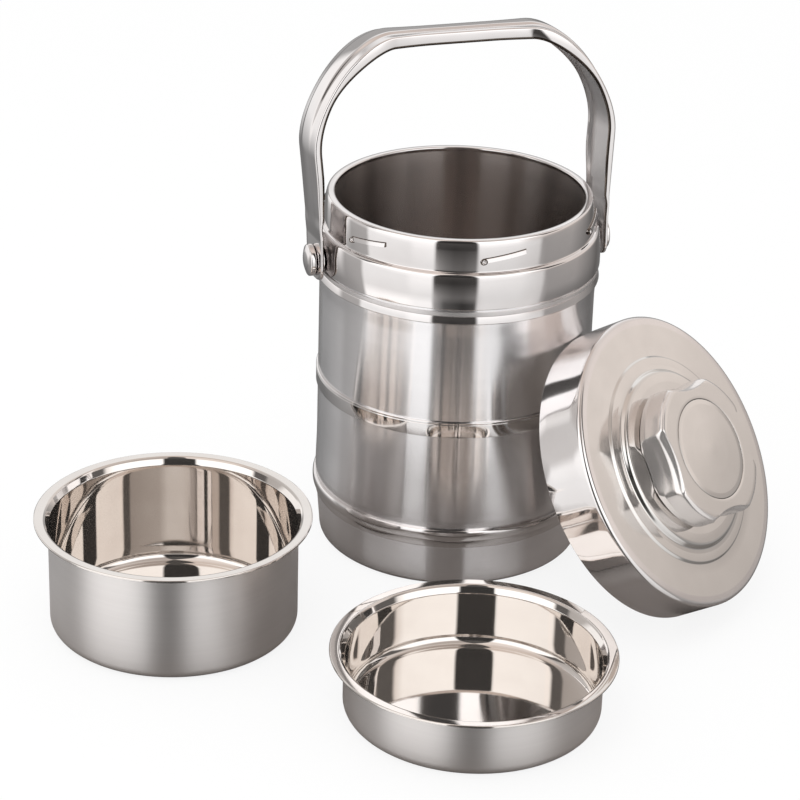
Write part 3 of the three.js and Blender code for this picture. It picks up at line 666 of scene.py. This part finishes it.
def bail_section(reach, height):
    """(across, depth) spots of the pressed strap's section at a spot of its path."""
    # The flat tab turns into a rolled-edge channel over the foot of the arm.
    channel = 0.45 * ease(19, 26, height) + 0.55 * ease(22, 50, height)
    # The arms are wide and the grip is narrower.
    narrow = 1 - ease(16, 64, abs(reach))
    half = TAB_HALF + 0.5 + 1.5 * ease(20, 50, height) - 6.2 * narrow
    if height < 12:
        half = TAB_HALF + 0.5 * ease(0, 12, height)
    round_top = TAB_END + TAB_ROUND
    if height < round_top:
        half = TAB_HALF - TAB_ROUND + math.sqrt(max(TAB_ROUND ** 2 - (height - round_top) ** 2, 0.01))
    deep = STRAP + (3.2 + 3.2 * ease(DEEPEN_FROM, DEEPEN_TO, height)) * channel
    crown = 0.2 + 1.0 * ease(60, 96, height)
    corner = 0.4 + 0.7 * channel
    outer = []
    for share in STEP_SHARES:
        step = ease(0.40, 0.56, share) * crown * channel
        roll = (0.15 + 0.75 * share * share) * channel
        outer.append((share * half, step + roll))
    outer.append((half - corner - 0.2, outer[-1][1] + 0.12))
    base = outer[-1]
    for turn in range(1, CORNER_STEPS + 1):
        angle = math.pi / 2 * turn / CORNER_STEPS
        across = base[0] + (half - base[0]) * math.sin(angle)
        outer.append((across, base[1] + corner * (1 - math.cos(angle))))
    edge = outer[-1][0]
    lip = 0.5 + 0.9 * channel
    inner_edge = [(edge, deep - lip), (edge - 0.25, deep - 0.35 * lip), (edge - 0.7, deep)]
    wall = [(edge - 1.3, deep - 0.2), (edge - 1.6, deep - 0.8 * channel)]
    web = min(1.3 + crown * channel + 0.9 * channel, deep - 0.05)
    under = [(edge - 2.4, max(web, deep - 2.6 * channel)), (0.55 * half, web)]
    under += [(0.25 * half, web - 0.3), (0, web - 0.3)]
    side = outer + inner_edge + wall + under
    mirrored = [(-across, depth) for across, depth in reversed(side[1:-1])]
    return side + mirrored


def bail_paint(side):
    """The material of a stretch of the section: bright outside, painted shade lines along the edge, and
    underneath a rougher steel darkened as painted shade.
    """
    if side < OUTER_SPOTS:
        return 0
    return 1 if side < OUTER_SPOTS + 2 else 2


def make_bail():
    path = bail_path()
    clean = [path[0]]
    for spot in path[1:]:
        if (spot - clean[-1]).length > 1e-4:
            clean.append(spot)
    tilt = Matrix.Rotation(-math.radians(LEAN), 3, "X")
    rows = []
    for index, spot in enumerate(clean):
        before = clean[max(index - 1, 0)]
        after = clean[min(index + 1, len(clean) - 1)]
        ahead = (after - before).normalized()
        outward = Vector((ahead.y, -ahead.x))
        if spot.y < ARM_FOOT[1] + 0.5:
            outward = Vector((1 if spot.x > 0 else -1, 0))
        row = []
        for across, depth in bail_section(spot.x, spot.y):
            flat = spot - outward * depth
            point = tilt @ Vector((flat.x, -across, flat.y))
            row.append((point.x, point.y, point.z + PIVOT))
        rows.append(row)
    data = ring_mesh(rows, 0)
    data.verts.ensure_lookup_table()
    count = len(rows[0])
    for index, face in enumerate(data.faces):
        face.material_index = bail_paint(min(index % count, count - 1 - index % count))
    data.faces.new([data.verts[index] for index in range(count)])
    data.faces.new([data.verts[len(rows) * count - 1 - index] for index in range(count)])
    # Bright steel outside, painted shade lines along the edges, darker painted shade underneath.
    steels = [POLISHED, EDGE_SHADE_STEEL, SHADED_UNDER_STEEL]
    finish_mesh("bail", data, "bail", ["bail_handle"], steels, sharp=45)


# Lid

LID_TURN = math.radians(39.5)
LID_RISE = math.radians(32.5)
LID_RADIUS = 80.2
LID_INNER = LID_RADIUS - SHEET
LID_FACE = 28.15
LID_STEP = 1.1
BOSS_TOP = 32.45
SCREW_HOLE = 2.6
PAN_FACE = 20
PLUG_FACE = 14
PLUG = 63.5
LOCK_LOW, LOCK_TOP = 4.5, 8
LOCK_INNER = 76


def lid_place():
    """The leaning lid's place: its open edge rests on the floor and against the pot's wall."""
    reach = LID_RADIUS * math.sin(LID_RISE)
    wall = BODY + 0.3
    distance = wall
    while True:
        near = min(
            math.hypot(distance - reach * math.cos(turn), LID_RADIUS * math.sin(turn))
            for turn in [math.radians(2 * step) for step in range(60)]
        )
        if near >= wall:
            break
        distance += 0.05
    rise = LID_RADIUS * math.cos(LID_RISE)
    spot = Vector((distance * math.sin(LID_TURN), -distance * math.cos(LID_TURN), rise))
    return (
        Matrix.Translation(spot * MM)
        @ Matrix.Rotation(LID_TURN, 4, "Z")
        @ Matrix.Rotation(math.pi / 2 - LID_RISE, 4, "X")
    )


LID = lid_place()


def make_cover():
    under = BOSS_TOP - 0.85
    inside = LID_FACE - 0.85
    outline = rounded(
        [
            (LID_INNER, 0, 0),
            (LID_RADIUS, 0, 0.3),
            (LID_RADIUS, LID_FACE - 0.15, 4.6),
            (75.0, LID_FACE, 1.2),
            (57.6, LID_FACE, 0.5),
            (56.4, LID_FACE + LID_STEP, 0.8),
            (52.0, LID_FACE + LID_STEP + 0.05, 1.2),
            (49.6, LID_FACE + LID_STEP + 0.25, 1.2),
            (48.0, BOSS_TOP - 0.15, 3.2),
            (42.0, BOSS_TOP, 2),
            (SCREW_HOLE, BOSS_TOP, 0),
            (SCREW_HOLE, under, 0),
            (42.0, under, 2),
            (47.0, under - 0.1, 2.8),
            (49.0, inside + 1.3, 1),
            (55.8, inside + 1.1, 0.3),
            (56.9, inside, 0.3),
            (75.0, inside, 1),
            (LID_INNER, inside - 0.3, 3.6),
            (LID_INNER, 0.2, 0),
        ],
        8,
    )
    turned(
        "cover",
        dense(outline, 6),
        "lid",
        ["lid_cover"],
        [LID_STEEL, SPUN],
        closed=True,
        place=LID,
        paint=lambda radius, height: 1 if radius < 76.5 and height > LID_FACE - 0.25 else 0,
    )


def make_pan():
    rim = LID_INNER - 0.3
    outline = rounded(
        [
            (0, PLUG_FACE, 0),
            (PLUG, PLUG_FACE, 3.2),
            (PLUG, PAN_FACE, 0.5),
            (rim, PAN_FACE, 0.5),
            (rim, PAN_FACE + 3, 0),
            (rim - SHEET, PAN_FACE + 3, 0),
            (rim - SHEET, PAN_FACE + SHEET, 0),
            (PLUG - SHEET, PAN_FACE + SHEET, 0),
            (PLUG - SHEET, PLUG_FACE + SHEET, 2),
            (0, PLUG_FACE + SHEET, 0),
        ]
    )
    turned("pan", dense(outline, 8), "lid", ["lid_pan"], [SPUN], place=LID)


def make_gasket():
    inner, outer = PLUG + 0.3, 72.0
    top = PAN_FACE - 0.3
    crest = (inner + outer) / 2
    outline = rounded(
        [
            (inner, top - 0.9, 0),
            (crest, top - 1.8, 0.8),
            (outer, top - 0.9, 0.5),
            (outer, top, 0),
            (inner, top, 0),
        ]
    )
    turned("gasket", outline, "lid", ["lid_gasket"], [SILICONE], closed=True, place=LID)


def lug_shift(angle, radius, height):
    """How far the six lugs reach in from the lock ring."""
    turn = math.degrees(angle) % 60 - 30
    if radius > LOCK_INNER + 0.2 or not LOCK_LOW + 0.2 < height < LOCK_TOP - 0.2:
        return 0
    return -2.0 * (1 - ease(4.8, 5.3, abs(turn)))


def make_lock_ring():
    outer = LID_INNER - 0.3
    inside = [LOCK_TOP, LOCK_TOP - 0.3, LOCK_TOP - 0.5, LOCK_LOW + 0.5, LOCK_LOW + 0.3]
    outline = [(LOCK_INNER, LOCK_LOW), (outer, LOCK_LOW), (outer, LOCK_TOP)]
    outline += [(LOCK_INNER, height) for height in inside]
    turned(
        "lock_ring",
        outline,
        "lid",
        ["lid_lock_ring"],
        [SPUN],
        closed=True,
        place=LID,
        sides=FINE_SIDES,
        shift=lug_shift,
    )


KNOB = 40.4
KNOB_LOW = BOSS_TOP + 0.25
KNOB_TOP = 50.4
KNOB_TURN = 80
CAP = 27.2
SCALLOP = 45
SCALLOP_DEPTH = 34.8


def lobed(angle, radius, height):
    """How far the finger scallops pull a knob point in towards the axis."""
    scallop = SCALLOP + 2.2 * ease(KNOB_TOP - 4.4, KNOB_TOP, height)
    centre = SCALLOP_DEPTH + SCALLOP
    turn = math.radians((math.degrees(angle) - KNOB_TURN + 45) % 90 - 45)
    inside = scallop ** 2 - (centre * math.sin(turn)) ** 2
    if inside <= 0 or radius <= CAP + 0.8:
        return 0
    face = centre * math.cos(turn) - math.sqrt(inside)
    if face >= radius + 1.2:
        return 0
    soft = 0.5
    mixed = -soft * math.log(math.exp(-(face - radius) / soft) + 1)
    return max(min(mixed, 0), -0.45 * radius)


def make_knob():
    floor = 49.1
    outline = rounded(
        [
            (7.3, KNOB_LOW, 0),
            (37.4, KNOB_LOW, 0.6),
            (39.4, KNOB_LOW + 1.7, 1.2),
            (KNOB, KNOB_LOW + 5.8, 3),
            (KNOB, KNOB_TOP, 2.4),
            (CAP + 0.25, KNOB_TOP, 0.35),
            (CAP + 0.2, floor, 0.2),
            (0, floor, 0),
        ],
        8,
    )
    turned(
        "knob",
        dense(outline, 1.5),
        "lid",
        ["knob_shell"],
        [KNOB_STEEL, SPUN],
        place=LID,
        sides=FINE_SIDES,
        shift=lobed,
        paint=lambda radius, height: 1 if height > KNOB_TOP - 0.05 or radius < CAP + 1 else 0,
    )


def make_cap():
    low, edge = 49.4, KNOB_TOP - 0.05
    outline = rounded(
        [
            (0, low, 0),
            (CAP, low, 0.1),
            (CAP, edge, 0.3),
            (24.5, edge + 0.2, 3),
            (14, edge + 0.35, 5),
            (0, edge + 0.5, 0),
        ]
    )
    turned("cap", dense(outline, 3), "lid", ["knob_cap"], [SPUN], place=LID)


# Bowls

BOWL_WALL = 65.6
BOWL_INNER = BOWL_WALL - SHEET
BOWL_RIM = 72.9
DEEP_BOWL = 62.8
SHALLOW_BOWL = 34.2
DEEP_BOWL_SPOT = (-175.29, -67.11)
SHALLOW_BOWL_SPOT = (-50.71, -193.98)


def make_bowl(name, height, spot, body, node):
    """A bowl with a flat flange, a small turned-down edge, a satin outside and a bright inside."""
    edge = BOWL_RIM - 0.7
    outline = rounded(
        [
            (0, 0, 0),
            (BOWL_WALL, 0, 6.2),
            (BOWL_WALL, height - 3.6, 1.5),
            (67.9, height - 1.1, 1.2),
            (edge, height - 0.9, 0.2),
            (edge, height - 1.3, 0.15),
            (BOWL_RIM, height - 1.3, 0.3),
            (BOWL_RIM, height, 1.0),
            (68.0, height - 0.2, 2.6),
            (66.9, height - 1.1, 0.9),
            (BOWL_INNER, height - 3.8, 1.5),
            (BOWL_INNER, SHEET, 5.4),
            (0, SHEET, 0),
        ],
        10,
    )
    walls = dense(outline, 4)
    top = max(range(len(walls)), key=lambda index: walls[index][1])
    flange = height - 5
    paints = [0 if index < top and flange > walls[index][1] else 1 for index in range(len(walls))]
    place = Matrix.Translation((spot[0] * MM, spot[1] * MM, 0))
    data = ring_mesh(turned_rows(walls), paints)
    finish_mesh(name, data, body, [node], [SATIN, BOWL_STEEL], place)


make_collar()
make_shell()
make_hem_ring()
make_foot_bead()
make_middle_band()
make_base_cup()
make_liner()
make_rivet("right_rivet", 1, "rivet_right")
make_rivet("left_rivet", -1, "rivet_left")
make_bail()
make_cover()
make_pan()
make_gasket()
make_lock_ring()
make_knob()
make_cap()
make_bowl("bowl_deep_wall", DEEP_BOWL, DEEP_BOWL_SPOT, "bowl_deep", "deep_bowl")
make_bowl("bowl_shallow_wall", SHALLOW_BOWL, SHALLOW_BOWL_SPOT, "bowl_shallow", "shallow_bowl")

KEPT = {
    "pot_insulation": FOAM,
    "lid_insulation": FOAM,
    "pivot_washer_right": POLISHED,
    "pivot_washer_left": POLISHED,
    "backing_plate_right": POLISHED,
    "backing_plate_left": POLISHED,
    "knob_insert": PLASTIC,
    "knob_screw": POLISHED,
    "knob_screw_washer": POLISHED,
}
for node, material in KEPT.items():
    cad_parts[node].data.materials.clear()
    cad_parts[node].data.materials.append(material)

# Studio

FLOOR_CORNERS = ((-6, -6), (6, -6), (6, 9), (-6, 9))
PAPER = 0.9
PAPER_SHOWN = 0.86
SHADE = (0.22, 0.195, 0.18)
SHADE_REACH = 0.09


def mixed_shader(tree, share, first, second):
    node = add(tree, "ShaderNodeMixShader")
    tree.links.new(share, node.inputs["Fac"])
    tree.links.new(first, node.inputs[1])
    tree.links.new(second, node.inputs[2])
    return node.outputs[0]


def make_floor():
    """White paper. Mirrors show it only where the pieces shade it, and elsewhere they show the panels."""
    data = bmesh.new()
    corners = [data.verts.new((x, y, 0)) for x, y in FLOOR_CORNERS]
    data.faces.new(corners)
    mesh = bpy.data.meshes.new("studio_floor")
    data.to_mesh(mesh)
    data.free()
    floor = bpy.data.objects.new("studio_floor", mesh)
    bpy.context.scene.collection.objects.link(floor)
    material = bpy.data.materials.new("studio_floor")
    material.use_nodes = True
    tree = material.node_tree
    tree.nodes.remove(tree.nodes["Principled BSDF"])
    paper = add(tree, "ShaderNodeBsdfDiffuse")
    paper.inputs["Color"].default_value = (PAPER, PAPER, PAPER, 1)
    glow = add(tree, "ShaderNodeEmission")
    glow.inputs["Color"].default_value = (1, 1, 1, 1)
    glow.inputs["Strength"].default_value = 1.0
    path = add(tree, "ShaderNodeLightPath")
    share = add(tree, "ShaderNodeMath", operation="MULTIPLY")
    share.inputs[1].default_value = PAPER_SHOWN
    tree.links.new(path.outputs["Is Camera Ray"], share.inputs[0])
    shown = mixed_shader(tree, share.outputs[0], paper.outputs[0], glow.outputs[0])
    shade = add(tree, "ShaderNodeEmission")
    shade.inputs["Color"].default_value = (*SHADE, 1)
    clear = add(tree, "ShaderNodeBsdfTransparent")
    near = add(tree, "ShaderNodeAmbientOcclusion", samples=6)
    near.inputs["Distance"].default_value = SHADE_REACH
    tree.links.new(spread(tree, near.outputs["AO"], 0.15, 1, 0.25, 0.55), shade.inputs["Strength"])
    covered = spread(tree, near.outputs["AO"], 1, 0, 0.50, 0.96)
    mirrored = mixed_shader(tree, covered, clear.outputs[0], shade.outputs[0])
    whole = mixed_shader(tree, path.outputs["Is Glossy Ray"], shown, mirrored)
    tree.links.new(whole, tree.nodes["Material Output"].inputs["Surface"])
    mesh.materials.append(material)


def strips(tree, turn, stops):
    """Studio panels round the object: (turn in degrees from +X, brightness, warmth) edges."""
    ramp = add(tree, "ShaderNodeValToRGB")
    ramp.color_ramp.interpolation = "LINEAR"
    elements = ramp.color_ramp.elements
    while len(elements) < len(stops):
        elements.new(0.5)
    for element, (degrees, level, warm) in zip(elements, sorted(stops)):
        element.position = (degrees + 180) / 360
        element.color = (level * (1 + warm), level, level * (1 - 0.6 * warm), 1)
    tree.links.new(turn, ramp.inputs["Fac"])
    return ramp.outputs["Color"]


# Panels that the metal sees: (turn in degrees from +X, brightness, warmth). LAYERS stacks them.
TABLE_PANELS = [
    (-180, 0.91, 0.01),
    (-160, 0.89, 0.01),
    (-129.5, 0.88, 0.0),
    (-127.3, 0.56, 0.01),
    (-124, 0.36, 0.02),
    (-119, 0.25, 0.02),
    (-112, 0.17, 0.03),
    (-104, 0.16, 0.03),
    (-98, 0.22, 0.02),
    (-93.4, 0.27, 0.02),
    (-92.2, 0.72, 0.0),
    (-88, 0.82, 0.0),
    (-60, 0.80, 0.0),
    (-46, 0.73, 0.01),
    (-38.5, 0.68, 0.01),
    (-36, 0.42, 0.02),
    (-31, 0.34, 0.03),
    (-2, 0.335, 0.03),
    (12, 0.26, 0.03),
    (24, 0.20, 0.03),
    (38, 0.13, 0.04),
    (62, 0.18, 0.02),
    (112, 0.19, 0.0),
    (134, 0.25, 0.01),
    (160, 0.39, 0.02),
    (169, 0.43, 0.02),
    (172, 0.90, 0.01),
    (180, 0.91, 0.01),
]
EDGE_PANELS = [
    (-180, 1.0, 0.0),
    (-150, 1.0, 0.0),
    (-144, 1.15, 0.0),
    (-128.5, 1.15, 0.0),
    (-126.5, 0.07, 0.05),
    (-112, 0.04, 0.05),
    (-93.4, 0.06, 0.05),
    (-92, 1.0, 0.0),
    (-58, 0.98, 0.0),
    (-46, 0.84, 0.0),
    (-39, 0.76, 0.01),
    (-35, 0.36, 0.03),
    (0, 0.40, 0.05),
    (24, 0.26, 0.04),
    (38, 0.14, 0.04),
    (62, 0.22, 0.02),
    (99, 0.24, 0.0),
    (105, 1.0, 0.0),
    (144, 1.05, 0.01),
    (150, 0.45, 0.02),
    (169, 0.46, 0.02),
    (172, 1.0, 0.0),
    (180, 1.0, 0.0),
]
WALL_PANELS = [
    (-180, 1.25, 0.0),
    (-128.5, 1.30, 0.0),
    (-126.5, 0.07, 0.05),
    (-93.4, 0.06, 0.05),
    (-92, 1.28, 0.0),
    (-58, 1.28, 0.0),
    (-46, 0.80, 0.05),
    (-30, 0.46, 0.08),
    (-20, 0.46, 0.09),
    (22, 0.46, 0.09),
    (34, 0.46, 0.05),
    (50, 0.44, 0.01),
    (100, 0.42, 0.01),
    (104, 1.10, 0.01),
    (144, 1.12, 0.01),
    (150, 0.66, 0.02),
    (168, 0.70, 0.02),
    (172, 1.20, 0.0),
    (180, 1.25, 0.0),
]
MIDDLE_FRONT = 0.80
MIDDLE_PANELS = [
    (turn, MIDDLE_FRONT if -40 < turn < 40 else level, warm) for turn, level, warm in WALL_PANELS
]
HIGH_PANELS = [
    (-180, 1.42, 0.0),
    (-128.5, 1.48, 0.0),
    (-126.5, 0.03, 0.05),
    (-93.4, 0.03, 0.05),
    (-92, 1.50, 0.0),
    (-42, 1.46, 0.0),
    (-34, 1.10, 0.04),
    (-30, 0.12, 0.06),
    (-12, 0.12, 0.06),
    (-8, 0.74, 0.09),
    (30, 0.76, 0.07),
    (48, 0.90, 0.02),
    (60, 1.02, 0.0),
    (88, 0.98, 0.0),
    (104, 0.66, 0.03),
    (152, 0.52, 0.05),
    (158, 0.50, 0.05),
    (161, 0.12, 0.06),
    (172, 0.12, 0.06),
    (175, 1.40, 0.02),
    (180, 1.45, 0.02),
]
ROOF_PANELS = [
    (-180, 0.85, 0.10),
    (-130, 0.88, 0.10),
    (-127, 0.10, 0.05),
    (-94, 0.08, 0.05),
    (-91, 0.46, 0.12),
    (-40, 0.50, 0.12),
    (0, 0.66, 0.10),
    (60, 0.58, 0.15),
    (120, 0.62, 0.15),
    (180, 0.85, 0.10),
]
NEAR_PANELS = [
    (-180, 1.25, 0.01),
    (-150, 1.25, 0.01),
    (-142, 1.15, 0.0),
    (-129.5, 1.15, 0.0),
    (-127.3, 0.40, 0.01),
    (-119, 0.10, 0.02),
    (-104, 0.04, 0.03),
    (-93.4, 0.08, 0.02),
    (-92.2, 0.80, 0.0),
    (-88, 0.88, 0.0),
    (-46, 0.78, 0.01),
    (-38.5, 0.68, 0.01),
    (-36, 0.42, 0.02),
    (-31, 0.26, 0.03),
    (12, 0.18, 0.03),
    (38, 0.10, 0.04),
    (62, 0.17, 0.02),
    (112, 0.18, 0.0),
    (160, 0.36, 0.02),
    (169, 0.42, 0.02),
    (172, 1.23, 0.01),
    (180, 1.25, 0.01),
]
# The dark colour the metal sees straight down is painted shade, standing in for the floor shaded under the
# pieces.
BELOW_SHADE = (0.18, 0.165, 0.16)
# Each layer fades in between two values of the direction's upward share.
LAYERS = [
    (NEAR_PANELS, -0.97, -0.86),
    (TABLE_PANELS, -0.45, -0.36),
    (EDGE_PANELS, -0.42, -0.12),
    (WALL_PANELS, -0.08, 0.10),
    (MIDDLE_PANELS, 0.11, 0.21),
    (HIGH_PANELS, 0.30, 0.36),
    (ROOF_PANELS, 0.74, 0.86),
]


def make_world():
    """White to the camera. Metal sees panels instead: table, its far edge, walls and roof, and straight
    below a painted shade that stands in for the shaded floor.
    """
    world = bpy.data.worlds.new("studio")
    bpy.context.scene.world = world
    world.use_nodes = True
    tree = world.node_tree
    backdrop = tree.nodes["Background"]
    place = add(tree, "ShaderNodeTexCoord").outputs["Generated"]
    split = add(tree, "ShaderNodeSeparateXYZ")
    tree.links.new(place, split.inputs[0])
    turn = add(tree, "ShaderNodeMath", operation="ARCTAN2")
    tree.links.new(split.outputs["Y"], turn.inputs[0])
    tree.links.new(split.outputs["X"], turn.inputs[1])
    share = spread(tree, turn.outputs[0], 0, 1, -math.pi, math.pi)
    height = split.outputs["Z"]
    colour = BELOW_SHADE
    for panels, low, high in LAYERS:
        colour = blend(tree, spread(tree, height, 0, 1, low, high), colour, strips(tree, share, panels))
    tree.links.new(colour, backdrop.inputs["Color"])
    white = add(tree, "ShaderNodeBackground")
    white.inputs["Color"].default_value = (1, 1, 1, 1)
    path = add(tree, "ShaderNodeLightPath")
    both = mixed_shader(tree, path.outputs["Is Glossy Ray"], white.outputs[0], backdrop.outputs[0])
    tree.links.new(both, tree.nodes["World Output"].inputs["Surface"])


LAMP_SPOT = (-0.5, -0.3, 1.6)
LAMP_TARGET = (0, -0.05, 0.1)
LAMP_SIZE = (1.2, 1.2)
LAMP_POWER = 6
CAMERA_SPOT = (-0.47507, -1.36710, 0.76219)
CAMERA_RIGHT = (0.95453, -0.29691, 0.02680)
CAMERA_UP = (0.10410, 0.41617, 0.90331)
CAMERA_BACK = (-0.27935, -0.85944, 0.42816)
SENSOR = 36
LENS = 128.98


def make_lamp(name, spot, target, size, power):
    light = bpy.data.lights.new(name, "AREA")
    light.shape = "RECTANGLE"
    light.size, light.size_y = size
    light.energy = power
    lamp = bpy.data.objects.new(name, light)
    bpy.context.scene.collection.objects.link(lamp)
    lamp.location = spot
    lamp.visible_glossy = False
    lamp.rotation_mode = "QUATERNION"
    lamp.rotation_quaternion = (Vector(target) - Vector(spot)).to_track_quat("-Z", "Y")


def make_camera():
    camera = bpy.data.objects.new("camera", bpy.data.cameras.new("camera"))
    bpy.context.scene.collection.objects.link(camera)
    turn = Matrix((CAMERA_RIGHT, CAMERA_UP, CAMERA_BACK)).transposed()
    camera.matrix_world = Matrix.Translation(CAMERA_SPOT) @ turn.to_4x4()
    camera.data.sensor_width = SENSOR
    camera.data.lens = LENS
    camera.data.clip_start = 0.05
    camera.data.clip_end = 40
    bpy.context.scene.camera = camera


make_floor()
make_world()
make_lamp("overhead", LAMP_SPOT, LAMP_TARGET, LAMP_SIZE, LAMP_POWER)
make_camera()
bpy.context.scene.view_settings.view_transform = "Standard"
